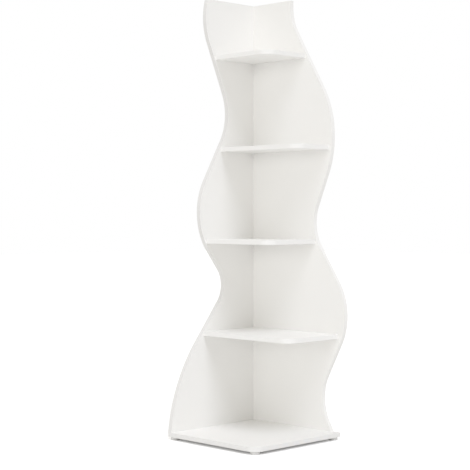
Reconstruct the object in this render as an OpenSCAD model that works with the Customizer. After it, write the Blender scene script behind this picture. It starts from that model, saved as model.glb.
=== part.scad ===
// Corner shelf: two wavy panels that meet at a right angle, a base board on four
// glides and four shelves with a rounded front corner. Millimetres, +Z up.
// The back panel runs along X at +Y, the side panel runs along Y at -X.
// The origin is on the floor, at the middle of the object's outline.

/* [Boards] */
// Thickness of every board
board_t = 18; // [16:1:22]
// Thickness of the edge band on every edge that shows
band_t = 1; // [0.4:0.1:2]
// Radius of the front corner of the base board
base_corner_r = 50; // [20:1:90]
// Radius of the front corner of the shelves
shelf_corner_r = 50; // [20:1:90]

/* [Size on the floor] */
// Width of the base board, along the back panel
base_w = 500; // [480:1:540]
// Depth of the base board, along the side panel
base_d = 500; // [480:1:540]

/* [Heights] */
// Clear height under each shelf, the lowest first
clear_h = [385, 368, 370, 368]; // [340:1:420]
// Height of the panels above the top shelf
panel_rise = 232; // [210:1:280]
// How far the shelves stay behind the wavy edges of the panels
shelf_setback = 11; // [6:1:20]

/* [Wavy edge of the side panel] */
// Reach of the edge at the top, from the inner corner
side_top_reach = 273; // [250:1:300]
// Height of each turn above the board below it, the lowest first
side_turn_up = [204, 189, 91, 127, 138]; // [80:1:210]
// Reach of each turn before it is rounded
side_turn_reach = [457, 152, 374, 130, 300]; // [120:1:470]
// Radius of each turn
side_turn_r = [720, 108, 270, 220, 275]; // [90:1:740]

/* [Wavy edge of the back panel] */
// Reach of the edge at the top, from the inner corner
back_top_reach = 220; // [205:1:240]
// Reach of the edge at the bottom
back_foot_reach = 448; // [420:1:470]
// Height of each turn above the board below it, the lowest first
back_turn_up = [132, 93, 51, 71, 159]; // [45:1:165]
// Reach of each turn before it is rounded
back_turn_reach = [372, 562, 328, 497, 212]; // [200:1:580]
// Radius of each turn
back_turn_r = [196, 255, 177, 400, 218]; // [150:1:420]

/* [Feet] */
// Height of a foot, and of the gap under the base board
foot_h = 12; // [9:1:20]
// Diameter of a foot
foot_d = 38; // [30:1:44]
// Distance from the edges of the base board to a foot
foot_inset = 3; // [1:0.5:8]
// Bevel on the bottom edge of a foot
foot_bevel = 1.5; // [0.5:0.1:3]
// Plastic left above the screw pocket of a foot
foot_web = 5; // [3:0.5:7]
// Length of a foot screw
foot_screw_l = 16; // [14:1:18]
// Shank diameter of a foot screw
foot_screw_d = 4; // [3.5:0.1:4.5]
// Head diameter of a foot screw
foot_head_d = 8; // [7:0.1:9]
// Head height of a foot screw
foot_head_h = 2.4; // [1.8:0.1:3]

/* [Assembly screws] */
// Overall length
screw_l = 50; // [45:1:55]
// Diameter of the neck inside the outer board
neck_d = 7; // [6:0.1:7.5]
// Diameter of the shank inside the inner board
shank_d = 5; // [4:0.1:5.5]
// Diameter of the countersunk head
head_d = 10; // [9:0.1:12]
// Height of the straight rim of the head
rim_h = 1; // [0.6:0.1:1.5]
// Height of the cone under the rim
cone_h = 2; // [1.5:0.1:3]
// Hexagon socket, across flats
socket_af = 4; // [3:0.5:5]
// Depth of the socket
socket_depth = 2.4; // [1.5:0.1:3]
// Distance of the outer screws from the corner and from a board's end
fixing_inset = 60; // [50:1:70]

/* [Dowels] */
// Diameter
dowel_d = 8; // [6:1:10]
// Length
dowel_l = 30; // [25:1:35]
// Part of the length that sits in the outer board
dowel_in_panel = 12; // [10:0.5:13]
// Spacing between a corner screw and its dowel
dowel_pitch = 64; // [32:1:96]

/* [Clearances] */
// Radial clearance round a screw or dowel
fixing_gap = 0.1; // [0.05:0.05:0.2]
// Clearance at the blind end of a hole
end_gap = 0.3; // [0.2:0.1:1]

/* [Wall fixing holes] */
// Diameter of the holes
wall_hole_d = 6; // [5:0.5:8]
// Height of the holes above the top shelf
wall_hole_up = 30; // [25:1:40]
// Distance of the holes from the inner corner
wall_hole_in = 40; // [30:1:60]

/* [Hidden] */

white = "whitesmoke";
band_white = "white";
grey = "gainsboro";
zinc = "silver";
beech = "burlywood";

round_fn = 48;      // facets of turned pieces on screen
arc_step = 1.5;     // degrees between the points of a wavy edge's arcs
overrun = 20;       // how far a wavy outline runs past the ends of its board
cut = 1;            // how far a hole runs past a face that it opens

top_bay = len(clear_h);
bays = [0 : top_bay];
shelves = [0 : top_bay - 1];
base_top = foot_h + board_t;

// Top face of the base board (0) and of each shelf above it (1 to 4)
function board_top(k) = k == 0 ? base_top : board_top(k - 1) + clear_h[k - 1] + board_t;
panel_top = board_top(top_bay) + panel_rise;

// Reach of the base board from the inner corner along each panel
base_reach_w = base_w - board_t;
base_reach_d = base_d - board_t;

// Unit vector from a to b
function unit(a, b) = (b - a) / norm(b - a);

// Outline points of an edge that runs from the start to the end and is rounded at each turn.
// A turn is [reach, height, radius]. The outline is moved into the board by inset.
function edge_points(start, turns, end, inset = 0) =
    let (last = len(turns) - 1,
         way = concat([start], [for (t = turns) [t.x, t.y]], [end]),
         first_dir = unit(way[0], way[1]),
         last_dir = unit(way[last + 1], way[last + 2]))
    concat(
        [start - overrun * first_dir + inset * [-first_dir.y, first_dir.x]],
        [for (i = [0 : last]) each turn_points(way[i], way[i + 1], way[i + 2], turns[i].z, inset,
            i == 0 ? 1 : 0.5, i == last ? 1 : 0.5)],
        [end + overrun * last_dir + inset * [-last_dir.y, last_dir.x]]);

// Points of the arc that rounds the turn b between a and c. The radius is limited by the
// shares of the two straight runs that the arc may use up.
function turn_points(a, b, c, r, inset, share_a, share_c) =
    let (u = unit(b, a),
         v = unit(b, c),
         half = acos(u * v) / 2,
         run = min(r / tan(half), share_a * norm(a - b), share_c * norm(c - b)),
         radius = run * tan(half),
         middle = b + (u + v) / norm(u + v) * radius / sin(half),
         bulges = middle.x < b.x,
         offset_r = bulges ? radius - inset : radius + inset,
         from = b + run * u - middle,
         sweep = (180 - 2 * half) * (bulges ? 1 : -1),
         steps = ceil(abs(sweep) / arc_step),
         a0 = atan2(from.y, from.x))
    [for (k = [0 : steps]) middle + offset_r * [cos(a0 + sweep * k / steps), sin(a0 + sweep * k / steps)]];

function turn_list(up, reach, r) = [for (k = bays) [reach[k], board_top(k) + up[k], r[k]]];

function side_edge(inset = 0) = edge_points([base_reach_d, base_top],
    turn_list(side_turn_up, side_turn_reach, side_turn_r), [side_top_reach, panel_top], inset);
function back_edge(inset = 0) = edge_points([back_foot_reach, base_top],
    turn_list(back_turn_up, back_turn_reach, back_turn_r), [back_top_reach, panel_top], inset);

// Reach of an edge at height z
function reach_at(edge, z) = lookup(z, [for (p = edge) [p.y, p.x]]);
function widest(edge) = max([for (p = edge) if (p.y > base_top) p.x]);

// Shelf sizes follow the wavy edges and stay within the base board
function shelf_mid(k) = board_top(k + 1) - board_t / 2;
shelf_w = [for (k = shelves) min(reach_at(back_edge(), shelf_mid(k)) - shelf_setback, base_reach_w)];
shelf_d = [for (k = shelves) min(reach_at(side_edge(), shelf_mid(k)) - shelf_setback, base_reach_d)];

// The inner corner, where the inner faces of the two panels meet
overall_w = board_t + max(widest(back_edge()), base_reach_w);
overall_d = board_t + max(widest(side_edge()), base_reach_d);
corner_x = board_t - overall_w / 2;
corner_y = overall_d / 2 - board_t;

// Places of the fixings along a joint: two screws and a dowel halfway between them
function screw_spots(reach) = [fixing_inset, reach - fixing_inset];
function dowel_spot(reach) = reach / 2;
// Height of the corner screw in each bay
function bay_mid(k) = (board_top(k) + (k == top_bay ? panel_top : board_top(k + 1) - board_t)) / 2;

// Lays an outline of [reach, height] out as a board along the side panel
module on_side() {
    translate([corner_x, corner_y, 0]) rotate([90, 0, -90]) linear_extrude(board_t) children();
}

// Lays an outline of [reach, height] out as a board along the back panel
module on_back() {
    translate([corner_x, corner_y + board_t, 0]) rotate([90, 0, 0]) linear_extrude(board_t) children();
}

// Panel outline between the base board and the top, held in by inset on its banded edges
module panel_outline(edge, from_reach, inset) {
    intersection() {
        polygon(concat([[from_reach, edge[0].y]], edge, [[from_reach, edge[len(edge) - 1].y]]));
        translate([from_reach, base_top])
            square([overall_w + overall_d, panel_top - inset - base_top]);
    }
}

// Board outline from the inner corner, w along the back panel and d along the side panel,
// with one rounded corner. The overlaps reach under the panels.
module board_outline(w, d, r, overlap, inset) {
    round_r = r - inset;
    translate([corner_x, corner_y]) mirror([0, 1]) difference() {
        translate([-overlap, -overlap]) square([w - inset + overlap, d - inset + overlap]);
        translate([w - r, d - r]) difference() {
            square(2 * r);
            circle(round_r, $fn = round_fn);
        }
    }
}

// A band is what the full outline has beyond the outline of the raw board
module level_board(k, w, d, r, overlap, band) {
    translate([0, 0, board_top(k) - board_t]) linear_extrude(board_t)
        if (band) {
            difference() {
                board_outline(w, d, r, overlap, 0);
                board_outline(w, d, r, overlap, band_t);
            }
        } else {
            board_outline(w, d, r, overlap, band_t);
        }
}

// Where the fixings sit. Each child points from the outer face into the joint along its +Z.
module at_side(reach, z) {
    translate([corner_x - board_t, corner_y - reach, z]) rotate([0, 90, 0]) children();
}
module at_back(reach, z) {
    translate([corner_x + reach, corner_y + board_t, z]) rotate([90, 0, 0]) children();
}
module at_side_screws(on = shelves) {
    for (k = on, s = screw_spots(shelf_d[k])) at_side(s, shelf_mid(k)) children();
}
module at_back_screws(on = shelves) {
    for (k = on, s = screw_spots(shelf_w[k])) at_back(s, shelf_mid(k)) children();
}
module at_side_dowels(on = shelves) {
    for (k = on) at_side(dowel_spot(shelf_d[k]), shelf_mid(k)) children();
}
module at_back_dowels(on = shelves) {
    for (k = on) at_back(dowel_spot(shelf_w[k]), shelf_mid(k)) children();
}
module at_corner_screws() {
    for (k = bays) at_back(-board_t / 2, bay_mid(k)) children();
}
module at_corner_dowels() {
    for (k = bays) at_back(-board_t / 2, bay_mid(k) + dowel_pitch) children();
}
module at_base_screws() {
    for (s = screw_spots(base_reach_d))
        translate([corner_x - board_t / 2, corner_y - s, foot_h]) children();
    for (s = screw_spots(back_foot_reach))
        translate([corner_x + s, corner_y + board_t / 2, foot_h]) children();
}
module at_base_dowels() {
    translate([corner_x - board_t / 2, corner_y - dowel_spot(base_reach_d), foot_h]) children();
    translate([corner_x + dowel_spot(back_foot_reach), corner_y + board_t / 2, foot_h]) children();
}
module at_foot(place) {
    edge_in = foot_inset + foot_d / 2;
    corner_in = base_corner_r - (base_corner_r - edge_in) / sqrt(2);
    x_left = corner_x - board_t;
    y_back = corner_y + board_t;
    spots = [[x_left + edge_in, y_back - edge_in], [x_left + edge_in, y_back - base_d + edge_in],
        [x_left + base_w - edge_in, y_back - edge_in],
        [x_left + base_w - corner_in, y_back - base_d + corner_in]];
    translate([spots[place].x, spots[place].y, 0]) children();
}

// A board screw with its head at the outer face, and the hole that takes it in both boards
module board_screw() {
    difference() {
        rotate_extrude($fn = round_fn) polygon([[0, 0], [head_d / 2, 0], [head_d / 2, rim_h],
            [neck_d / 2, rim_h + cone_h], [neck_d / 2, board_t], [shank_d / 2, board_t],
            [shank_d / 2, screw_l - shank_d / 2], [0, screw_l]]);
        translate([0, 0, -cut]) cylinder(h = socket_depth + cut, d = socket_af / cos(30), $fn = 6);
    }
}
module screw_hole() {
    head_r = head_d / 2 + fixing_gap;
    neck_r = neck_d / 2 + fixing_gap;
    shank_r = shank_d / 2 + fixing_gap;
    rotate_extrude($fn = round_fn) polygon([[0, -cut], [head_r, -cut], [head_r, rim_h],
        [neck_r, rim_h + cone_h], [neck_r, board_t], [shank_r, board_t],
        [shank_r, screw_l + end_gap], [0, screw_l + end_gap]]);
}
module dowel() {
    translate([0, 0, board_t - dowel_in_panel]) cylinder(h = dowel_l, d = dowel_d, $fn = round_fn);
}
module dowel_hole() {
    translate([0, 0, board_t - dowel_in_panel - end_gap])
        cylinder(h = dowel_l + 2 * end_gap, d = dowel_d + 2 * fixing_gap, $fn = round_fn);
}
module wall_hole() {
    translate([0, 0, -cut]) cylinder(h = board_t + 2 * cut, d = wall_hole_d, $fn = round_fn);
}
module foot_screw_hole() {
    translate([0, 0, foot_h - cut])
        cylinder(h = foot_screw_l - foot_web + cut + end_gap, d = foot_screw_d + 2 * fixing_gap,
            $fn = round_fn);
}

module side_panel() {
    color(white) difference() {
        on_side() panel_outline(side_edge(band_t), 0, band_t);
        at_side_screws() screw_hole();
        at_side_dowels() dowel_hole();
        at_corner_screws() screw_hole();
        at_corner_dowels() dowel_hole();
        at_base_screws() screw_hole();
        at_base_dowels() dowel_hole();
        at_side(wall_hole_in, board_top(top_bay) + wall_hole_up) wall_hole();
    }
}

module back_panel() {
    color(white) difference() {
        on_back() panel_outline(back_edge(band_t), -board_t, band_t);
        at_back_screws() screw_hole();
        at_back_dowels() dowel_hole();
        at_corner_screws() screw_hole();
        at_corner_dowels() dowel_hole();
        at_base_screws() screw_hole();
        at_base_dowels() dowel_hole();
        at_back(wall_hole_in, board_top(top_bay) + wall_hole_up) wall_hole();
    }
}

module side_panel_band() {
    color(band_white) on_side() difference() {
        panel_outline(side_edge(), 0, 0);
        panel_outline(side_edge(band_t), 0, band_t);
    }
}

module back_panel_band() {
    color(band_white) on_back() difference() {
        panel_outline(back_edge(), -board_t, 0);
        panel_outline(back_edge(band_t), -board_t, band_t);
    }
}

module base_board() {
    color(white) difference() {
        level_board(0, base_reach_w, base_reach_d, base_corner_r, board_t, false);
        at_base_screws() screw_hole();
        at_base_dowels() dowel_hole();
        for (place = [0 : 3]) at_foot(place) foot_screw_hole();
    }
}

module base_band() {
    color(band_white) level_board(0, base_reach_w, base_reach_d, base_corner_r, board_t, true);
}

module shelf(k) {
    color(white) difference() {
        level_board(k + 1, shelf_w[k], shelf_d[k], shelf_corner_r, 0, false);
        at_side_screws([k]) screw_hole();
        at_back_screws([k]) screw_hole();
        at_side_dowels([k]) dowel_hole();
        at_back_dowels([k]) dowel_hole();
    }
}

module shelf_band(k) {
    color(band_white) level_board(k + 1, shelf_w[k], shelf_d[k], shelf_corner_r, 0, true);
}

module foot(place) {
    foot_r = foot_d / 2;
    hole_r = foot_screw_d / 2 + fixing_gap;
    pocket_r = foot_head_d / 2 + 2 * fixing_gap;
    color(grey) at_foot(place) rotate_extrude($fn = round_fn) polygon([[hole_r, foot_h],
        [hole_r, foot_h - foot_web], [pocket_r, foot_h - foot_web], [pocket_r, 0],
        [foot_r - foot_bevel, 0], [foot_r, foot_bevel], [foot_r, foot_h]]);
}

module foot_screws() {
    head_z = foot_h - foot_web - foot_head_h;
    color(zinc) for (place = [0 : 3]) at_foot(place) rotate_extrude($fn = round_fn)
        polygon([[0, head_z], [foot_head_d / 2, head_z + foot_head_h / 2],
            [foot_head_d / 2, head_z + foot_head_h], [foot_screw_d / 2, head_z + foot_head_h],
            [foot_screw_d / 2, head_z + foot_head_h + foot_screw_l - foot_screw_d / 2],
            [0, head_z + foot_head_h + foot_screw_l]]);
}

module side_screws() { color(zinc) at_side_screws() board_screw(); }
module back_screws() { color(zinc) at_back_screws() board_screw(); }
module corner_screws() { color(zinc) at_corner_screws() board_screw(); }
module base_screws() { color(zinc) at_base_screws() board_screw(); }
module corner_dowels() { color(beech) at_corner_dowels() dowel(); }
module base_dowels() { color(beech) at_base_dowels() dowel(); }
module shelf_dowels() {
    color(beech) {
        at_side_dowels() dowel();
        at_back_dowels() dowel();
    }
}

side_panel();
back_panel();
base_board();
shelf(0);  // shelf_1
shelf(1);  // shelf_2
shelf(2);  // shelf_3
shelf(3);  // shelf_4
side_panel_band();
back_panel_band();
base_band();
shelf_band(0);  // shelf_1_band
shelf_band(1);  // shelf_2_band
shelf_band(2);  // shelf_3_band
shelf_band(3);  // shelf_4_band
foot(0);  // foot_corner
foot(1);  // foot_side
foot(2);  // foot_back
foot(3);  // foot_front
foot_screws();
side_screws();
back_screws();
corner_screws();
base_screws();
shelf_dowels();
corner_dowels();
base_dowels();
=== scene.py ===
import math
import bmesh
import bpy
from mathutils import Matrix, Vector


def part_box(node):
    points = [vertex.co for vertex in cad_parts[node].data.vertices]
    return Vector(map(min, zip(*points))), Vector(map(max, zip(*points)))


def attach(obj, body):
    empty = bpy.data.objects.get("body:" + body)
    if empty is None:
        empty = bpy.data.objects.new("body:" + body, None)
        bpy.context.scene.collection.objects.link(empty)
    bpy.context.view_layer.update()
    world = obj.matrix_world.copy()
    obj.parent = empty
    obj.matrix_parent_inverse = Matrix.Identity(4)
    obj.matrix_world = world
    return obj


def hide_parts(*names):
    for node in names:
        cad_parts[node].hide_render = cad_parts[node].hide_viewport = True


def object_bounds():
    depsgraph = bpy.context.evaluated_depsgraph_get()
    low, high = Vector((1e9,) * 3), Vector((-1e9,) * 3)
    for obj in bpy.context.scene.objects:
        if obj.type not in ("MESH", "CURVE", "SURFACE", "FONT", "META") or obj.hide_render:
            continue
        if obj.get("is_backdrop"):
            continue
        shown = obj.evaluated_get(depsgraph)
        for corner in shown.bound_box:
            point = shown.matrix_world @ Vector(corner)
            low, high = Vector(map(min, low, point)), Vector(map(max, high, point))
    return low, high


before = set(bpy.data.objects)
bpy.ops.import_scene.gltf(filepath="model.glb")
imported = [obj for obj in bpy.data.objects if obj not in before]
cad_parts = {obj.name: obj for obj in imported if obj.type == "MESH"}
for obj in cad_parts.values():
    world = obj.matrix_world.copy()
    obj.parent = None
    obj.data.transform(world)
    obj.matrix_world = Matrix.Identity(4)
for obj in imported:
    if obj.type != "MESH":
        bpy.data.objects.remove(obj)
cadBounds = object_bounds()
print("frame loaded:", len(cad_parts), "nodes")

mm = 0.001


# An output socket that sums can be written with
class Wire:
    def __init__(self, graph, socket):
        self.graph = graph
        self.socket = socket

    def math(self, operation, first, second=0):
        return self.graph.add("ShaderNodeMath", {"operation": operation}, {0: first, 1: second})

    def __add__(self, other):
        return self.math("ADD", self, other)

    def __radd__(self, other):
        return self.math("ADD", other, self)

    def __sub__(self, other):
        return self.math("SUBTRACT", self, other)

    def __rsub__(self, other):
        return self.math("SUBTRACT", other, self)

    def __mul__(self, other):
        return self.math("MULTIPLY", self, other)

    def __rmul__(self, other):
        return self.math("MULTIPLY", other, self)


# A node tree, of a material or of Geometry Nodes, that nodes are added to
class Graph:
    def __init__(self, tree):
        self.tree = tree
        tree.nodes.clear()

    # Settings come first, where stops are the (position, shade) pairs of a ramp. Then each
    # input gets a value, a wire or a list of wires.
    def add(self, kind, settings=None, values=None, output=0):
        node = self.tree.nodes.new(kind)
        for name, value in (settings or {}).items():
            if name == "stops":
                ramp = node.color_ramp
                while len(ramp.elements) < len(value):
                    ramp.elements.new(1)
                for element, (position, shade) in zip(ramp.elements, value):
                    element.position = position
                    element.color = (shade, shade, shade, 1)
            else:
                setattr(node, name, value)
        for name, value in (values or {}).items():
            for item in value if isinstance(value, list) else [value]:
                if isinstance(item, Wire):
                    self.tree.links.new(item.socket, node.inputs[name])
                else:
                    node.inputs[name].default_value = item
        return Wire(self, node.outputs[output]) if len(node.outputs) else None

    # Another output of the node that a wire comes from
    def other(self, wire, output):
        return Wire(self, wire.socket.node.outputs[output])


def newMaterial(name):
    material = bpy.data.materials.new(name)
    material.use_nodes = True
    return material, Graph(material.node_tree)


def finishMaterial(graph, values, constants):
    shader = graph.add("ShaderNodeBsdfPrincipled", {}, {**values, **constants})
    graph.add("ShaderNodeOutputMaterial", {}, {"Surface": shader})


# A mix of two colours; the Mix node's colour sockets share their names, so they go by number
def tint(graph, factor, first, second):
    colours = {0: factor, 6: (*first, 1), 7: (*second, 1)}
    return graph.add("ShaderNodeMix", {"data_type": "RGBA"}, colours, output=2)


def objectPlace(graph):
    return graph.add("ShaderNodeTexCoord", output="Object")


# The place on a fixing as it was turned, upright at the origin
def turnedPlace(graph):
    return graph.add("ShaderNodeAttribute", {"attribute_name": "turned"}, output="Vector")


def noise(graph, place, scale, detail, roughness=0.5):
    values = {"Vector": place, "Scale": scale, "Detail": detail, "Roughness": roughness}
    return graph.add("ShaderNodeTexNoise", {}, values)


# The scale of a noise whose grains are this many millimetres across
def grainScale(size):
    return 1000 / size


# Noise runs about 0.5, so this swings about 0
def swing(wire, amount):
    return (wire - 0.5) * amount


# A bump as deep as this many millimetres
def bump(graph, depth, height):
    return graph.add("ShaderNodeBump", {}, {"Strength": 1, "Distance": depth * mm, "Height": height})


# Satin melamine facing: a faint pearl texture, and tone and gloss that drift a little over a
# board. Here and below, sizes and depths are in millimetres and swings are of the roughness.
boardLook = {"colour": (0.944, 0.937, 0.916), "duller": (0.932, 0.925, 0.904),
             "dullFrom": 0.35, "dullTo": 0.7, "roughness": 0.46, "patchSize": 260,
             "patchSwing": 0.16, "pearlSize": 1.4, "pearlRoughness": 0.4, "pearlSwing": 0.08,
             "pearlDepth": 0.06, "speckleScale": 5200, "speckleInTone": 0.15,
             "speckleInHeight": 0.2, "specular": 0.32}


def makeBoardMaterial(name, look):
    material, graph = newMaterial(name)
    place = objectPlace(graph)
    patches = noise(graph, place, grainScale(look["patchSize"]), detail=3)
    pearl = noise(graph, place, grainScale(look["pearlSize"]), detail=1,
                  roughness=look["pearlRoughness"])
    speckle = noise(graph, place, look["speckleScale"], detail=0)
    tone = patches * (1 - look["speckleInTone"]) + speckle * look["speckleInTone"]
    stops = [(look["dullFrom"], 0), (look["dullTo"], 1)]
    shade = graph.add("ShaderNodeValToRGB", {"stops": stops}, {0: tone})
    height = pearl * (1 - look["speckleInHeight"]) + speckle * look["speckleInHeight"]
    gloss = swing(patches, look["patchSwing"])
    finishMaterial(graph, {
        "Base Color": tint(graph, shade, look["colour"], look["duller"]),
        "Roughness": look["roughness"] + gloss + swing(pearl, look["pearlSwing"]),
        "Normal": bump(graph, look["pearlDepth"], height),
    }, {"Specular IOR Level": look["specular"]})
    return material


boardWhite = makeBoardMaterial("boardWhite", boardLook)


# Edge band: duller than the boards, with the fine grain of an extruded strip. The bands of the side
# panel and of the base are made greyer than the rest, by these shares. This is painted shade for the
# shade that falls on these edges.
bandLook = {"colour": (0.943, 0.937, 0.918), "dulling": 0.988, "roughness": 0.58,
            "driftScale": 9, "driftSwing": 0.12, "grainSize": 0.9, "grainSwing": 0.06,
            "grainDepth": 0.012, "specular": 0.2, "sidePaintedShade": 0.1, "basePaintedShade": 0.065}


def makeBandMaterial(name, look, paintedShade):
    material, graph = newMaterial(name)
    # The band's colour is darkened by this share of painted shade
    colour = tuple((1 - paintedShade) * part for part in look["colour"])
    duller = tuple(look["dulling"] * part for part in colour)
    place = objectPlace(graph)
    drift = noise(graph, place, look["driftScale"], detail=2)
    grain = noise(graph, place, grainScale(look["grainSize"]), detail=2)
    gloss = swing(drift, look["driftSwing"])
    finishMaterial(graph, {
        "Base Color": tint(graph, drift, colour, duller),
        "Roughness": look["roughness"] + gloss + swing(grain, look["grainSwing"]),
        "Normal": bump(graph, look["grainDepth"], grain),
    }, {"Specular IOR Level": look["specular"]})
    return material


bandWhite = makeBandMaterial("bandWhite", bandLook, 0)
# The side panel's band and the base's band carry painted shade: they are the same band, made greyer
sideBandGrey = makeBandMaterial("sideBandGrey", bandLook, bandLook["sidePaintedShade"])
baseBandGrey = makeBandMaterial("baseBandGrey", bandLook, bandLook["basePaintedShade"])


# Moulded foot: an even spark-eroded texture, a little darker where the floor has rubbed it
footLook = {"colour": (0.72, 0.715, 0.70), "rubbed": (0.55, 0.54, 0.52), "roughness": 0.55,
            "textureSize": 0.35, "textureDepth": 0.03, "textureSwing": 0.1, "cloudScale": 120,
            "rubHeight": 3, "rubLeast": 0.35, "rubCloud": 0.4, "rubGloss": 0.08, "specular": 0.4}


def makeFootMaterial(name, look):
    material, graph = newMaterial(name)
    place = objectPlace(graph)
    height = graph.add("ShaderNodeSeparateXYZ", {}, {"Vector": place}, output="Z")
    texture = noise(graph, place, grainScale(look["textureSize"]), detail=2)
    cloud = noise(graph, place, look["cloudScale"], detail=3)
    rubHeight = look["rubHeight"] * mm
    nearFloor = graph.add("ShaderNodeMapRange", {"interpolation_type": "SMOOTHSTEP"}, {
        "Value": height + swing(cloud, rubHeight), "From Min": 0, "From Max": rubHeight,
        "To Min": 1, "To Max": 0})
    rubbing = nearFloor * (look["rubLeast"] + cloud * look["rubCloud"])
    gloss = swing(texture, look["textureSwing"])
    finishMaterial(graph, {
        "Base Color": tint(graph, rubbing, look["colour"], look["rubbed"]),
        "Roughness": look["roughness"] + gloss - nearFloor * look["rubGloss"],
        "Normal": bump(graph, look["textureDepth"], texture),
    }, {"Specular IOR Level": look["specular"]})
    return material


footPlastic = makeFootMaterial("footPlastic", footLook)


# Zinc plating: turned rings on the head, four to a millimetre at this scale, with cloudy
# darker and bluer patches
zincLook = {"colour": (0.66, 0.67, 0.68), "cloud": (0.52, 0.53, 0.56), "roughness": 0.3,
            "cloudScale": 380, "cloudSwing": 0.25, "ringScale": 1256, "ringWobble": 1.5,
            "ringDepth": 0.008}


def makeZincMaterial(name, look):
    material, graph = newMaterial(name)
    rings = graph.add("ShaderNodeTexWave", {"wave_type": "RINGS", "rings_direction": "Z"}, {
        "Vector": turnedPlace(graph), "Scale": look["ringScale"],
        "Distortion": look["ringWobble"], "Detail": 1}, output="Fac")
    cloud = noise(graph, objectPlace(graph), look["cloudScale"], detail=4)
    finishMaterial(graph, {
        "Base Color": tint(graph, cloud, look["colour"], look["cloud"]),
        "Roughness": look["roughness"] + swing(cloud, look["cloudSwing"]),
        "Normal": bump(graph, look["ringDepth"], rings),
    }, {"Metallic": 1})
    return material


zincSteel = makeZincMaterial("zincSteel", zincLook)


# Turned beech: fine grain along the dowel, with short darker flecks
beechLook = {"colour": (0.60, 0.42, 0.25), "fleck": (0.42, 0.26, 0.14), "roughness": 0.62,
             "stretch": 0.12, "grainScale": 1600, "grainShare": 0.6, "grainSwing": 0.15,
             "grainDepth": 0.05, "fleckScale": 900, "fleckShare": 0.5, "specular": 0.3}


def makeBeechMaterial(name, look):
    material, graph = newMaterial(name)
    along = graph.add("ShaderNodeMapping", {}, {
        "Vector": turnedPlace(graph), "Scale": (1, 1, look["stretch"])})
    grain = noise(graph, along, look["grainScale"], detail=4)
    fleck = graph.add("ShaderNodeTexVoronoi", {"feature": "F1"}, {
        "Vector": along, "Scale": look["fleckScale"]}, output="Distance")
    darker = grain * look["grainShare"] + fleck * look["fleckShare"]
    finishMaterial(graph, {
        "Base Color": tint(graph, darker, look["colour"], look["fleck"]),
        "Roughness": look["roughness"] + swing(grain, look["grainSwing"]),
        "Normal": bump(graph, look["grainDepth"], grain),
    }, {"Specular IOR Level": look["specular"]})
    return material


beechWood = makeBeechMaterial("beechWood", beechLook)
print("materials made")


def addObject(name, data):
    item = bpy.data.objects.new(name, data)
    bpy.context.scene.collection.objects.link(item)
    return item


# A Geometry Nodes tree with named inputs, given as name and socket type
def newTree(name, inputs):
    graph = Graph(bpy.data.node_groups.new(name, "GeometryNodeTree"))
    interface = graph.tree.interface
    interface.new_socket(name="Geometry", in_out="INPUT", socket_type="NodeSocketGeometry")
    for label, kind in inputs.items():
        interface.new_socket(name=label, in_out="INPUT", socket_type=kind)
    interface.new_socket(name="Geometry", in_out="OUTPUT", socket_type="NodeSocketGeometry")
    return graph, graph.add("NodeGroupInput", output="Geometry")


def endTree(graph, geometry, material):
    real = graph.add("GeometryNodeRealizeInstances", {}, {"Geometry": geometry})
    dressed = graph.add("GeometryNodeSetMaterial", {}, {"Geometry": real, "Material": material})
    graph.add("NodeGroupOutput", {}, {"Geometry": dressed})


# Runs a tree on an object and turns the result into a plain mesh object of the given name
def runTree(name, source, tree, values, bevel=None):
    modifier = source.modifiers.new("nodes", "NODES")
    modifier.node_group = tree
    for item in tree.interface.items_tree:
        if item.in_out == "INPUT" and item.name in values:
            modifier[item.identifier] = values[item.name]
    if bevel:
        edge = source.modifiers.new("edges", "BEVEL")
        edge.width = bevel["width"] * mm
        edge.segments = bevel["segments"]
        edge.limit_method = "ANGLE"
        edge.angle_limit = math.radians(bevel["angle"])
        edge.harden_normals = True
    graph = bpy.context.evaluated_depsgraph_get()
    mesh = bpy.data.meshes.new_from_object(
        source.evaluated_get(graph), preserve_all_data_layers=True, depsgraph=graph)
    mesh.name = name
    bpy.data.objects.remove(source)
    return addObject(name, mesh)


# A mesh object of loose or joined points, with a named value on each point
def pointObject(name, points, edges, label, kind, values):
    mesh = bpy.data.meshes.new(name)
    mesh.from_pydata(points, edges, [])
    layer = mesh.attributes.new(label, kind, "POINT")
    field = "value" if kind == "FLOAT" else "vector"
    for item, value in zip(layer.data, values):
        setattr(item, field, value)
    return addObject(name, mesh)


seamGap = 0.01 * mm      # points nearer than this are joined


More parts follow.
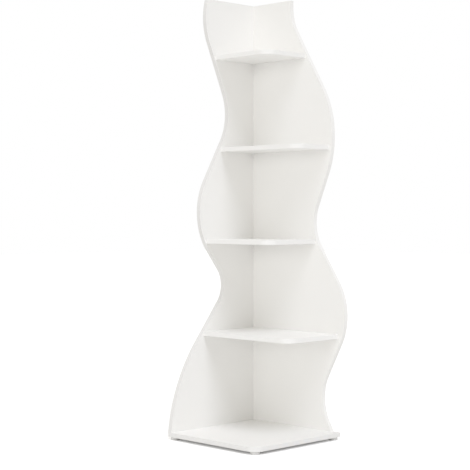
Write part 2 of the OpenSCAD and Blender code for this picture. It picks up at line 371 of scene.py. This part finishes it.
# Cuts a board out of sheet: rounds the turns of a flat outline, fills it, gives it its
# thickness, turns it into place and drills it
def makeBoardTree():
    graph, outline = newTree("cutBoard", {
        "Thickness": "NodeSocketFloat", "Arc Points": "NodeSocketInt",
        "Turn": "NodeSocketVector", "Place": "NodeSocketVector",
        "Drill": "NodeSocketObject", "Material": "NodeSocketMaterial"})

    def ask(label):
        return graph.other(outline, label)

    curve = graph.add("GeometryNodeMeshToCurve", {}, {"Mesh": outline})
    radius = graph.add("GeometryNodeInputNamedAttribute", {"data_type": "FLOAT"},
                       {"Name": "turnRadius"}, output="Attribute")
    rounded = graph.add("GeometryNodeFilletCurve", {"mode": "POLY"},
                        {"Curve": curve, "Count": ask("Arc Points"), "Radius": radius})
    face = graph.add("GeometryNodeFillCurve", {"mode": "NGONS"}, {"Curve": rounded})
    rise = graph.add("ShaderNodeCombineXYZ", {}, {"Z": ask("Thickness")})
    raised = graph.add("GeometryNodeExtrudeMesh", {"mode": "FACES"},
                       {"Mesh": face, "Offset": rise, "Individual": False})
    under = graph.add("GeometryNodeFlipFaces", {}, {"Mesh": face})
    board = graph.add("GeometryNodeJoinGeometry", {}, {"Geometry": [raised, under]})
    closed = graph.add("GeometryNodeMergeByDistance", {}, {"Geometry": board, "Distance": seamGap})
    turned = graph.add("GeometryNodeTransform", {}, {
        "Geometry": closed, "Translation": ask("Place"), "Rotation": ask("Turn")})
    drill = graph.add("GeometryNodeObjectInfo", {}, {"Object": ask("Drill")}, output="Geometry")
    drilled = graph.add("GeometryNodeMeshBoolean", {"operation": "DIFFERENCE", "solver": "EXACT"},
                        {"Mesh 1": turned, "Mesh 2": drill})
    smooth = graph.add("GeometryNodeSetShadeSmooth", {},
                       {"Geometry": drilled, "Shade Smooth": True})
    endTree(graph, smooth, ask("Material"))
    return graph.tree


boardTree = makeBoardTree()


# Steps in a turn of the thread, sides of its ridge, and its radius at the end as a share of
# that at the start
threadShape = {"steps": 20, "ridgeSides": 4, "taper": 0.9}


# A screw's thread, wound round its core; ask gives the inputs of the tree it is made in
def windThread(graph, ask, shape):
    length, core = ask("Thread Length"), ask("Core Radius")
    helix = graph.add("GeometryNodeCurveSpiral", {}, {
        "Resolution": shape["steps"], "Rotations": length.math("DIVIDE", length, ask("Thread Pitch")),
        "Start Radius": core, "End Radius": core * shape["taper"], "Height": length})
    upright = graph.add("GeometryNodeSetCurveNormal", {"mode": "Z_UP"}, {"Curve": helix})
    ridge = graph.add("GeometryNodeCurvePrimitiveCircle", {},
                      {"Resolution": shape["ridgeSides"], "Radius": ask("Thread Depth")})
    thread = graph.add("GeometryNodeCurveToMesh", {},
                       {"Curve": upright, "Profile Curve": ridge, "Fill Caps": True})
    start = graph.add("ShaderNodeCombineXYZ", {}, {"Z": ask("Thread From")})
    return graph.add("GeometryNodeTransform", {}, {"Geometry": thread, "Translation": start})


# Sets one fixing on each point, with its own +Z along the point's aim
def makeFixingTree(name, threaded):
    inputs = {"Fixing": "NodeSocketObject", "Material": "NodeSocketMaterial"}
    if threaded:
        for label in ("Thread From", "Thread Length", "Thread Pitch", "Thread Depth", "Core Radius"):
            inputs[label] = "NodeSocketFloat"
    graph, points = newTree(name, inputs)

    def ask(label):
        return graph.other(points, label)

    fixing = graph.add("GeometryNodeObjectInfo", {}, {"Object": ask("Fixing")}, output="Geometry")
    if threaded:
        both = [fixing, windThread(graph, ask, threadShape)]
        fixing = graph.add("GeometryNodeJoinGeometry", {}, {"Geometry": both})
    position = graph.add("GeometryNodeInputPosition")
    kept = graph.add("GeometryNodeStoreNamedAttribute",
                     {"data_type": "FLOAT_VECTOR", "domain": "POINT"},
                     {"Geometry": fixing, "Name": "turned", "Value": position})
    aim = graph.add("GeometryNodeInputNamedAttribute", {"data_type": "FLOAT_VECTOR"},
                    {"Name": "aim"}, output="Attribute")
    turn = graph.add("FunctionNodeAlignRotationToVector", {"axis": "Z"}, {"Vector": aim})
    spots = graph.add("GeometryNodeMeshToPoints", {}, {"Mesh": points})
    placed = graph.add("GeometryNodeInstanceOnPoints", {},
                       {"Points": spots, "Instance": kept, "Rotation": turn})
    endTree(graph, placed, ask("Material"))
    return graph.tree


screwTree = makeFixingTree("setScrews", True)
plainTree = makeFixingTree("setFixings", False)

sharpAngle = 35      # degrees, past which an edge of a turned body stays sharp


# A turned body from rows of (height, radius), where a radius may depend on the angle.
# A row of radius 0 is a point on the axis; a ring body joins its last row to its first.
def turnedObject(name, rows, sides, ring=False):
    shape = bmesh.new()
    rings = []
    for height, radius in rows:
        if radius == 0:
            rings.append([shape.verts.new((0, 0, height * mm))])
            continue
        loop = []
        for step in range(sides):
            angle = 2 * math.pi * step / sides
            reach = (radius(angle) if callable(radius) else radius) * mm
            point = (reach * math.cos(angle), reach * math.sin(angle), height * mm)
            loop.append(shape.verts.new(point))
        rings.append(loop)
    pairs = list(zip(rings, rings[1:])) + ([(rings[-1], rings[0])] if ring else [])
    for low, high in pairs:
        for step in range(sides):
            after = step + 1
            corners = [low[step % len(low)], low[after % len(low)],
                       high[after % len(high)], high[step % len(high)]]
            shape.faces.new(dict.fromkeys(corners))
    bmesh.ops.recalc_face_normals(shape, faces=shape.faces)
    mesh = bpy.data.meshes.new(name)
    shape.to_mesh(mesh)
    shape.free()
    mesh.shade_smooth()
    mesh.set_sharp_from_angle(angle=math.radians(sharpAngle))
    return addObject(name, mesh)


def dress(piece, slot, *nodes):
    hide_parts(*nodes)
    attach(piece, "root")


boardThickness = 18 * mm
bandThickness = 1 * mm

# Where the boards are, read from the frame. The corner is where the inner faces of the panels
# meet; widths and depths go from there to the outside of the bands.
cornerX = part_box("side_panel")[1].x
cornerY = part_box("back_panel")[0].y
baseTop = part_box("base_board")[1].z
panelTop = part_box("side_panel_band")[1].z
shelfNames = ["shelf_1", "shelf_2", "shelf_3", "shelf_4"]
boardTops = [baseTop] + [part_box(name)[1].z for name in shelfNames]
shelfWidths = [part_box(name + "_band")[1].x - cornerX for name in shelfNames]
shelfDepths = [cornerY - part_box(name + "_band")[0].y for name in shelfNames]
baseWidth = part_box("base_band")[1].x - cornerX
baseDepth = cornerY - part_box("base_band")[0].y
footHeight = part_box("foot_corner")[1].z

onSide = {"Turn": (math.pi / 2, 0, -math.pi / 2), "Place": (cornerX, cornerY, 0)}
onBack = {"Turn": (math.pi / 2, 0, 0), "Place": (cornerX, cornerY + boardThickness, 0)}


# The wavy edges: straight runs from the start through five turns to the end, each turn
# rounded. A turn is its height above the board below, its reach and its radius.
sideWave = {"start": baseDepth / mm, "top": 273, "up": [204, 189, 91, 127, 138],
            "reach": [457, 152, 374, 130, 300], "radius": [720, 108, 270, 220, 275]}
backWave = {"start": 448, "top": 220, "up": [132, 93, 51, 71, 159],
            "reach": [372, 562, 328, 497, 212], "radius": [196, 255, 177, 400, 218]}

# How much of a run a turn's rounding may take, between two turns and towards an end
turnShare = {"between": 0.5, "end": 0.97}


# The way of a wavy edge and the radius of each turn, moved into the board by inset
def wayOf(wave, inset):
    way = [Vector((wave["start"] * mm, baseTop))]
    for reach, top, up in zip(wave["reach"], boardTops, wave["up"]):
        way.append(Vector((reach * mm, top + up * mm)))
    way.append(Vector((wave["top"] * mm, panelTop)))
    runs = [(b - a).normalized() for a, b in zip(way, way[1:])]
    last = len(wave["radius"]) - 1
    radii = []
    for turn, radius in enumerate(wave["radius"]):
        before, corner, after = way[turn:turn + 3]
        half = (before - corner).angle(after - corner) / 2
        run = min(radius * mm / math.tan(half),
                  turnShare["end" if turn == 0 else "between"] * (before - corner).length,
                  turnShare["end" if turn == last else "between"] * (after - corner).length)
        bulges = corner.x > (before.x + after.x) / 2
        radii.append(run * math.tan(half) - (inset if bulges else -inset))
    moved = [point + inset * Vector((-run.y, run.x)) for point, run in zip(way, runs + [runs[-1]])]
    level = Vector((1, 0))
    inner = [crossing(moved[0], runs[0], Vector((0, baseTop)), level)]
    inner += [crossing(moved[k], runs[k], moved[k + 1], runs[k + 1]) for k in range(last + 1)]
    inner += [crossing(moved[-2], runs[-1], Vector((0, panelTop - inset)), level)]
    return inner, radii


# Where a line through a meets a line through b
def crossing(a, runA, b, runB):
    gap = b - a
    return a + runA * ((gap.x * runB.y - gap.y * runB.x) / (runA.x * runB.y - runA.y * runB.x))


# Outline points with their radii, for the board itself (inset) or for its band
def panelOutline(wave, startReach, inset):
    way, radii = wayOf(wave, inset)
    points = [Vector((startReach, baseTop))] + way + [Vector((startReach, panelTop - inset))]
    return points, [0, 0] + radii + [0, 0]


def panelBandOutline(wave, startReach):
    outer, outerRadii = wayOf(wave, 0)
    inner, innerRadii = wayOf(wave, bandThickness)
    atWall = [Vector((startReach, panelTop)), Vector((startReach, panelTop - bandThickness))]
    radii = [0] + outerRadii + [0, 0, 0, 0] + innerRadii[::-1] + [0]
    return outer + atWall + inner[::-1], radii


arcPoints = 32      # on each rounded turn of an outline

# Broken edges: width in millimetres, steps, and the least angle in degrees of an edge
boardEdge = {"width": 0.15, "segments": 2, "angle": 28}
bandEdge = {"width": 0.45, "segments": 3, "angle": 28}


def cutBoard(name, outline, values, drill, material, bevel):
    points, radii = outline
    count = len(points)
    flat = [(point.x, point.y, 0) for point in points]
    loop = [(k, (k + 1) % count) for k in range(count)]
    source = pointObject(name + "Outline", flat, loop, "turnRadius", "FLOAT", radii)
    settings = {"Thickness": boardThickness, "Arc Points": arcPoints, "Material": material, **values}
    if drill:      # drilling takes most of the time
        settings["Drill"] = drill
    return runTree(name, source, boardTree, settings, bevel)


# Where the fixings are: (start on the outer face, direction into the joint). The inset is
# from the inner corner and from the outer end. A corner dowel sits dowelPitch above its
# screw, and the wall holes are above the top shelf and in from the corner.
fixingPlan = {"inset": 60 * mm, "dowelPitch": 64 * mm, "wallHoleUp": 30 * mm, "wallHoleIn": 40 * mm}


def sideSpot(reach, height):
    return (cornerX - boardThickness, cornerY - reach, height), (1, 0, 0)


def backSpot(reach, height):
    return (cornerX + reach, cornerY + boardThickness, height), (0, -1, 0)


def underSide(reach):
    return (cornerX - boardThickness / 2, cornerY - reach, footHeight), (0, 0, 1)


def underBack(reach):
    return (cornerX + reach, cornerY + boardThickness / 2, footHeight), (0, 0, 1)


def planFixings(plan):
    kinds = ("side", "back", "corner", "base", "sideDowel", "backDowel", "cornerDowel",
             "baseDowel", "wallSide", "wallBack")
    spots = {kind: [] for kind in kinds}
    inset, middle = plan["inset"], boardThickness / 2
    for top, width, depth in zip(boardTops[1:], shelfWidths, shelfDepths):
        level = top - middle
        spots["side"] += [sideSpot(inset, level), sideSpot(depth - inset, level)]
        spots["back"] += [backSpot(inset, level), backSpot(width - inset, level)]
        spots["sideDowel"].append(sideSpot(depth / 2, level))
        spots["backDowel"].append(backSpot(width / 2, level))
    ceilings = [top - boardThickness for top in boardTops[1:]] + [panelTop]
    for floor, ceiling in zip(boardTops, ceilings):
        halfway = (floor + ceiling) / 2
        spots["corner"].append(backSpot(-middle, halfway))
        spots["cornerDowel"].append(backSpot(-middle, halfway + plan["dowelPitch"]))
    for length, under in ((baseDepth, underSide), (backWave["start"] * mm, underBack)):
        spots["base"] += [under(inset), under(length - inset)]
        spots["baseDowel"].append(under(length / 2))
    wallHeight = boardTops[-1] + plan["wallHoleUp"]
    spots["wallSide"].append(sideSpot(plan["wallHoleIn"], wallHeight))
    spots["wallBack"].append(backSpot(plan["wallHoleIn"], wallHeight))
    return spots


spots = planFixings(fixingPlan)


def setFixings(name, places, fixing, tree, material, values=None):
    starts = [start for start, aim in places]
    aims = [aim for start, aim in places]
    source = pointObject(name + "Points", starts, [], "aim", "FLOAT_VECTOR", aims)
    return runTree(name, source, tree, {"Fixing": fixing, "Material": material, **(values or {})})


# Cutters for the holes, in millimetres: stepped for screws, plain for dowels and wall screws.
# Those for screws reach past the face, and the dowels' stay inside. The neck drops to the
# shank within step.
holeSizes = {"head": 5.1, "rim": 1, "cone": 2, "neck": 3.6, "shank": 2.6, "step": 0.01,
             "depth": 50.3, "dowel": 4.1, "dowelFrom": 5.7, "dowelTo": 36.3, "wall": 3,
             "past": 1, "sides": 40}


def makeCutters(sizes):
    past, sides, thick = sizes["past"], sizes["sides"], boardThickness / mm
    head, neck, shank, dowel = sizes["head"], sizes["neck"], sizes["shank"], sizes["dowel"]
    screwRows = [(-past, 0), (-past, head), (sizes["rim"], head),
                 (sizes["rim"] + sizes["cone"], neck), (thick, neck),
                 (thick + sizes["step"], shank), (sizes["depth"], shank), (sizes["depth"], 0)]
    dowelRows = [(sizes["dowelFrom"], 0), (sizes["dowelFrom"], dowel),
                 (sizes["dowelTo"], dowel), (sizes["dowelTo"], 0)]
    wallRows = [(-past, 0), (-past, sizes["wall"]), (thick + past, sizes["wall"]),
                (thick + past, 0)]
    return (turnedObject("screwCutter", screwRows, sides),
            turnedObject("dowelCutter", dowelRows, sides),
            turnedObject("wallCutter", wallRows, sides))


screwCutter, dowelCutter, wallCutter = makeCutters(holeSizes)


# One mesh with every cutter that meets a board
def drillFor(name, screws, dowels, walls):
    joined = bmesh.new()
    for kind, places, cutter in (("Screws", screws, screwCutter), ("Dowels", dowels, dowelCutter),
                                 ("Walls", walls, wallCutter)):
        if places:
            part = setFixings(name + kind, places, cutter, plainTree, boardWhite)
            joined.from_mesh(part.data)
            bpy.data.objects.remove(part)
    mesh = bpy.data.meshes.new(name)
    joined.to_mesh(mesh)
    joined.free()
    return addObject(name, mesh)


# The side panel has the first two screws and the first dowel of the base, the back panel
# the others
def makePanels():
    sideDrill = drillFor(
        "sideDrill", spots["side"] + spots["corner"] + spots["base"][:2],
        spots["sideDowel"] + spots["cornerDowel"] + spots["baseDowel"][:1], spots["wallSide"])
    backDrill = drillFor(
        "backDrill", spots["back"] + spots["corner"] + spots["base"][2:],
        spots["backDowel"] + spots["cornerDowel"] + spots["baseDowel"][1:], spots["wallBack"])
    side = cutBoard("sidePanel", panelOutline(sideWave, 0, bandThickness),
                    onSide, sideDrill, boardWhite, boardEdge)
    back = cutBoard("backPanel", panelOutline(backWave, -boardThickness, bandThickness),
                    onBack, backDrill, boardWhite, boardEdge)
    sideBand = cutBoard("sidePanelBand", panelBandOutline(sideWave, 0),
                        onSide, None, sideBandGrey, bandEdge)
    backBand = cutBoard("backPanelBand", panelBandOutline(backWave, -boardThickness),
                        onBack, None, bandWhite, bandEdge)
    dress(side, "white_board", "side_panel")
    dress(back, "white_board", "back_panel")
    dress(sideBand, "white_band", "side_panel_band")
    dress(backBand, "white_band", "back_panel_band")
    for drill in (sideDrill, backDrill):
        bpy.data.objects.remove(drill)


makePanels()
print("panels made")


# A level board from the inner corner, rounded at its front corner. The outline runs
# counter-clockwise seen from above; overlap is how far it reaches under the panels.
def levelOutline(width, depth, radius, overlap, inset):
    left, back = cornerX - overlap, cornerY + overlap
    right, front = cornerX + width - inset, cornerY - depth + inset
    points = [Vector((left, back)), Vector((left, front)),
              Vector((right, front)), Vector((right, back))]
    return points, [0, 0, radius - inset, 0]


def levelBandOutline(width, depth, radius, overlap):
    outer, outerRadii = levelOutline(width, depth, radius, overlap, 0)
    inner, innerRadii = levelOutline(width, depth, radius, overlap, bandThickness)
    return outer[1:] + inner[:0:-1], outerRadii[1:] + innerRadii[:0:-1]


# The rounding of the front corners
shelfShape = {"radius": 50 * mm}
baseShape = {"radius": 50 * mm}


def makeLevelBoard(name, node, width, depth, radius, top, overlap, drill, bandMaterial):
    values = {"Turn": (0, 0, 0), "Place": (0, 0, top - boardThickness)}
    board = cutBoard(name, levelOutline(width, depth, radius, overlap, bandThickness),
                     values, drill, boardWhite, boardEdge)
    band = cutBoard(name + "Band", levelBandOutline(width, depth, radius, overlap),
                    values, None, bandMaterial, bandEdge)
    dress(board, "white_board", node)
    dress(band, "white_band", node.replace("_board", "") + "_band")      # base_board, base_band


def makeShelves():
    for k, name in enumerate(shelfNames):
        pair = slice(2 * k, 2 * k + 2)      # each panel has two screws for a shelf
        drill = drillFor(name + "Drill", spots["side"][pair] + spots["back"][pair],
                         [spots["sideDowel"][k], spots["backDowel"][k]], [])
        makeLevelBoard("shelf" + name[-1], name, shelfWidths[k], shelfDepths[k],
                       shelfShape["radius"], boardTops[k + 1], 0, drill, bandWhite)
        bpy.data.objects.remove(drill)
    drill = drillFor("baseDrill", spots["base"], spots["baseDowel"], [])
    makeLevelBoard("baseBoard", "base_board", baseWidth, baseDepth, baseShape["radius"],
                   baseTop, boardThickness, drill, baseBandGrey)
    bpy.data.objects.remove(drill)


makeShelves()
print("shelves and base made")


# A hexagon and a cross as radii that depend on the angle, for the sockets of the screws
def hexagon(acrossFlats):
    def reach(angle):
        return acrossFlats / 2 / math.cos((angle % (math.pi / 3)) - math.pi / 6)
    return reach


def cross(length, width):
    tiny = 1e-6

    def reach(angle):
        cosine = max(abs(math.cos(angle)), tiny)
        sine = max(abs(math.sin(angle)), tiny)
        return max(min(length / cosine, width / sine), min(width / cosine, length / sine))
    return reach


# Board screws, in millimetres. The head's edge is rounded through one point between its two
# ends, at edgeShare of its width. The neck stops short of the panel's inner face, and the
# thread starts past that face.
boardScrew = {"length": 50, "head": 5, "edge": 0.2, "edgeShare": 0.3, "rim": 1, "cone": 2,
              "neck": 3.5, "neckShort": 1, "shank": 2.5, "tip": 4, "point": 1, "pointRadius": 1.2,
              "socket": 4, "socketDepth": 2.4, "socketPoint": 0.5, "mouth": 0.5,
              "mouthDepth": 0.25, "threadPast": 1.5, "threadShort": 4.5, "pitch": 3,
              "thread": 0.9, "sides": 36}


def makeScrews(look):
    thick, head, shank, length = boardThickness / mm, look["head"], look["shank"], look["length"]
    socket, mouth = hexagon(look["socket"]), hexagon(look["socket"] + look["mouth"])
    edge, softened = look["edge"], look["edge"] * look["edgeShare"]
    fixing = turnedObject("boardScrewBody", [
        (look["socketDepth"] + look["socketPoint"], 0), (look["socketDepth"], socket),
        (look["mouthDepth"], socket), (0, mouth),
        (0, head - edge), (softened, head - softened), (edge, head),
        (look["rim"], head), (look["rim"] + look["cone"], look["neck"]),
        (thick - look["neckShort"], look["neck"]), (thick, shank), (length - look["tip"], shank),
        (length - look["point"], look["pointRadius"]), (length, 0)], look["sides"])
    threadFrom = thick + look["threadPast"]
    threadLength = length - threadFrom - look["threadShort"]
    thread = {"Thread From": threadFrom * mm, "Thread Length": threadLength * mm,
              "Thread Pitch": look["pitch"] * mm, "Thread Depth": look["thread"] * mm,
              "Core Radius": shank * mm}
    for name in ("side", "back", "corner", "base"):
        piece = setFixings(name + "Screws", spots[name], fixing, screwTree, zincSteel, thread)
        dress(piece, "zinc_steel", name + "_screws")
    bpy.data.objects.remove(fixing)


makeScrews(boardScrew)


woodDowel = {"radius": 4, "length": 30, "inPanel": 12, "chamfer": 1, "flutes": 12,
             "fluteDepth": 0.3, "sides": 72}


def makeDowels(look):
    def fluted(angle):
        wave = 0.5 - 0.5 * math.cos(look["flutes"] * angle)
        return look["radius"] - look["fluteDepth"] * wave ** 2

    start = boardThickness / mm - look["inPanel"]
    end = start + look["length"]
    small = look["radius"] - look["chamfer"]
    fixing = turnedObject("dowelBody", [
        (start, 0), (start, small), (start + look["chamfer"], fluted),
        (end - look["chamfer"], fluted), (end, small), (end, 0)], look["sides"])
    for name, places in (("shelf", spots["sideDowel"] + spots["backDowel"]),
                         ("corner", spots["cornerDowel"]), ("base", spots["baseDowel"])):
        piece = setFixings(name + "Dowels", places, fixing, plainTree, beechWood)
        dress(piece, "dowel_wood", name + "_dowels")
    bpy.data.objects.remove(fixing)


makeDowels(woodDowel)
print("screws and dowels made")


# Feet, in millimetres. The heights of the groove are from the top of the foot down.
roundFoot = {"radius": 19, "height": 12, "web": 5, "hole": 2.1, "pocket": 4.2,
             "pocketEdge": 0.4, "rounding": 1.5, "roundingSteps": 5, "groove": 0.6,
             "grooveFrom": 1.4, "grooveFlat": 1, "grooveTo": 0.4, "topEdge": 0.3, "sides": 64}

# Foot screws, in millimetres. The head is almost flat out to the face radius and then falls
# away to the shoulder. The cross gets smaller towards its end.
footScrew = {"head": 4, "headHeight": 2.4, "face": 2.6, "faceDrop": 0.02, "shoulder": 3.5,
             "shoulderDrop": 0.45, "step": 0.01, "shank": 2, "length": 16, "point": 3,
             "socketDepth": 1.5, "socketPoint": 0.1, "socketLength": 2.1, "socketWidth": 0.45,
             "endLength": 1.1, "endWidth": 0.35, "sides": 48}
footNames = ["foot_corner", "foot_side", "foot_back", "foot_front"]


def makeFootBody(look):
    radius, height, pocket = look["radius"], look["height"], look["pocket"]
    webAt, grooved = height - look["web"], radius - look["groove"]
    rounded = []
    for step in range(look["roundingSteps"], -1, -1):
        angle = math.pi / 2 * step / look["roundingSteps"]
        rounded.append((look["rounding"] * (1 - math.sin(angle)),
                        radius - look["rounding"] * (1 - math.cos(angle))))
    return turnedObject("footBody", [
        (height, look["hole"]), (webAt, look["hole"]), (webAt, pocket),
        (look["pocketEdge"], pocket), (0, pocket + look["pocketEdge"]), *rounded,
        (height - look["grooveFrom"], radius), (height - look["grooveFlat"], grooved),
        (height - look["grooveTo"], grooved), (height, radius - look["topEdge"])],
        look["sides"], ring=True)


def makeFootScrew(look, foot):
    face = foot["height"] - foot["web"] - look["headHeight"]
    seat = face + look["headHeight"]
    socketEnd = face + look["socketDepth"]
    return turnedObject("footScrewBody", [
        (socketEnd, 0), (socketEnd - look["socketPoint"], cross(look["endLength"], look["endWidth"])),
        (face, cross(look["socketLength"], look["socketWidth"])),
        (face + look["faceDrop"], look["face"]), (face + look["shoulderDrop"], look["shoulder"]),
        (face + look["headHeight"] / 2, look["head"]), (seat, look["head"]),
        (seat + look["step"], look["shank"]),
        (seat + look["length"] - look["point"], look["shank"]), (seat + look["length"], 0)],
        look["sides"])


def makeFeet(look, screwLook):
    foot, screw = makeFootBody(look), makeFootScrew(screwLook, look)
    centres = []
    for name in footNames:
        low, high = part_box(name)
        centres.append((((low.x + high.x) / 2, (low.y + high.y) / 2, 0), (0, 0, 1)))
    feet = setFixings("feet", centres, foot, plainTree, footPlastic)
    screws = setFixings("footScrews", centres, screw, plainTree, zincSteel)
    dress(feet, "foot_plastic", *footNames)
    dress(screws, "zinc_steel", "foot_screws")
    bpy.data.objects.remove(foot)
    bpy.data.objects.remove(screw)


makeFeet(roundFoot, footScrew)
for cutter in (screwCutter, dowelCutter, wallCutter):
    bpy.data.objects.remove(cutter)
print("feet made")


# A pale studio floor that shows as white as the backdrop, except under the base board. The white
# fades in from a little under the board's edge, and lights nothing. It is a painted glow that covers
# the floor's soft shadows around the base and lightens the shadow in the gap under the board's edge.
stageLook = {"floorSize": 40, "floorColour": (0.94, 0.94, 0.935), "floorRoughness": 0.6,
             "floorSpecular": 0.2, "mottleScale": 1.5, "mottleDulling": 0.99,
             "whitening": 0.35, "whiteUnder": 0.08, "whiteReach": 0.12,
             "surroundColour": (0.603, 0.593, 0.571), "backdropColour": (1, 1, 1)}


# How far a coordinate lies past a span about its middle, and 0 within it
def pastSpan(coordinate, middle, half):
    fromMiddle = coordinate.math("ABSOLUTE", coordinate - middle)
    return coordinate.math("MAXIMUM", fromMiddle - half, 0)


def makeFloorMaterial(name, look):
    material, graph = newMaterial(name)
    place = objectPlace(graph)
    mottle = noise(graph, place, look["mottleScale"], detail=3)
    duller = tuple(look["mottleDulling"] * part for part in look["floorColour"])
    across = graph.add("ShaderNodeSeparateXYZ", {}, {"Vector": place}, output="X")
    pastX = pastSpan(across, cornerX + (baseWidth - boardThickness) / 2,
                     (baseWidth + boardThickness) / 2 - look["whiteUnder"])
    pastY = pastSpan(graph.other(across, "Y"), cornerY - (baseDepth - boardThickness) / 2,
                     (baseDepth + boardThickness) / 2 - look["whiteUnder"])
    away = across.math("POWER", pastX * pastX + pastY * pastY, 0.5)      # the square root
    # Painted glow on the floor, seen by the camera only: it covers the soft shadows around the base
    # and lightens the shadow in the gap
    outside = graph.add("ShaderNodeMapRange", {"interpolation_type": "SMOOTHSTEP"}, {
        "Value": away, "From Min": 0, "From Max": look["whiteReach"]})
    seen = graph.add("ShaderNodeLightPath", output="Is Camera Ray")
    finishMaterial(graph, {
        "Base Color": tint(graph, mottle, look["floorColour"], duller),
        "Emission Color": tint(graph, outside * seen, (0, 0, 0), (1, 1, 1)),
    }, {"Roughness": look["floorRoughness"], "Specular IOR Level": look["floorSpecular"],
        "Emission Strength": look["whitening"]})
    return material


def makeFloor(look):
    half = look["floorSize"] / 2
    corners = [(-half, -half, 0), (half, -half, 0), (half, half, 0), (-half, half, 0)]
    mesh = bpy.data.meshes.new("floor")
    mesh.from_pydata(corners, [], [(0, 1, 2, 3)])
    mesh.materials.append(makeFloorMaterial("floorPaint", look))
    addObject("floor", mesh)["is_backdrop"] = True


# The camera sees the backdrop's colour, and everything else is lit by the surround's
def makeSurround(look):
    world = bpy.data.worlds.new("studio")
    bpy.context.scene.world = world
    world.use_nodes = True
    sky = Graph(world.node_tree)
    seen = sky.add("ShaderNodeLightPath", output="Is Camera Ray")
    shown = sky.add("ShaderNodeBackground", {}, {"Color": (*look["backdropColour"], 1)})
    lighting = sky.add("ShaderNodeBackground", {}, {"Color": (*look["surroundColour"], 1)})
    both = sky.add("ShaderNodeMixShader", {}, {0: seen, 1: lighting, 2: shown})
    sky.add("ShaderNodeOutputWorld", {}, {"Surface": both})


makeFloor(stageLook)
makeSurround(stageLook)


# Soft lights, so wide that their shadows have no edge: one high up in front and to the
# right, a weaker one low in front of the back panel, and a weak one from above
studioLights = {
    "keyLight": {"direction": (0.6, -0.27, 1.0), "spread": 30, "power": 1.0,
                 "colour": (0.965, 1.0, 1.1)},
    "fillLight": {"direction": (0.25, -1.0, 0.14), "spread": 20, "power": 0.39,
                  "colour": (1.01, 1.0, 0.98)},
    "topLight": {"direction": (0.05, -0.05, 1.0), "spread": 30, "power": 0.175,
                 "colour": (1.1, 1.0, 0.9)},
}
lampDistance = 4      # metres, where the lamps are drawn; it doesn't change their light


def makeLights(lights):
    for name, look in lights.items():
        light = bpy.data.lights.new(name, "SUN")
        light.angle = math.radians(look["spread"])
        light.energy = look["power"]
        light.color = look["colour"]
        lamp = addObject(name, light)
        direction = Vector(look["direction"]).normalized()
        lamp.location = lampDistance * direction
        lamp.rotation_euler = direction.to_track_quat("Z", "Y").to_euler()


makeLights(studioLights)


# The camera stands this far from the inner corner, at the photo's angle, and looks a little
# to the left of the corner and downwards. Metres and degrees; lens and sensor in millimetres.
cameraPlan = {"distance": 5.44, "azimuth": 44.4, "height": 0.924, "pan": 0.843, "tilt": 0.95,
              "lens": 95.74, "sensor": 36}


def makeCamera(plan):
    data = bpy.data.cameras.new("camera")
    data.lens = plan["lens"]
    data.sensor_width = plan["sensor"]
    camera = addObject("camera", data)
    azimuth = math.radians(plan["azimuth"])
    away = Vector((math.sin(azimuth), -math.cos(azimuth), 0))
    camera.location = Vector((cornerX, cornerY, plan["height"])) + plan["distance"] * away
    tilt, turn = math.radians(90 - plan["tilt"]), azimuth + math.radians(plan["pan"])
    camera.rotation_euler = (tilt, 0, turn)
    bpy.context.scene.camera = camera


makeCamera(cameraPlan)
bpy.context.scene.view_settings.view_transform = "Standard"
print("stage, lights and camera made")

box = lambda bounds: [list(corner) for corner in bounds]
{"cad": box(cadBounds), "visual": box(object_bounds())}
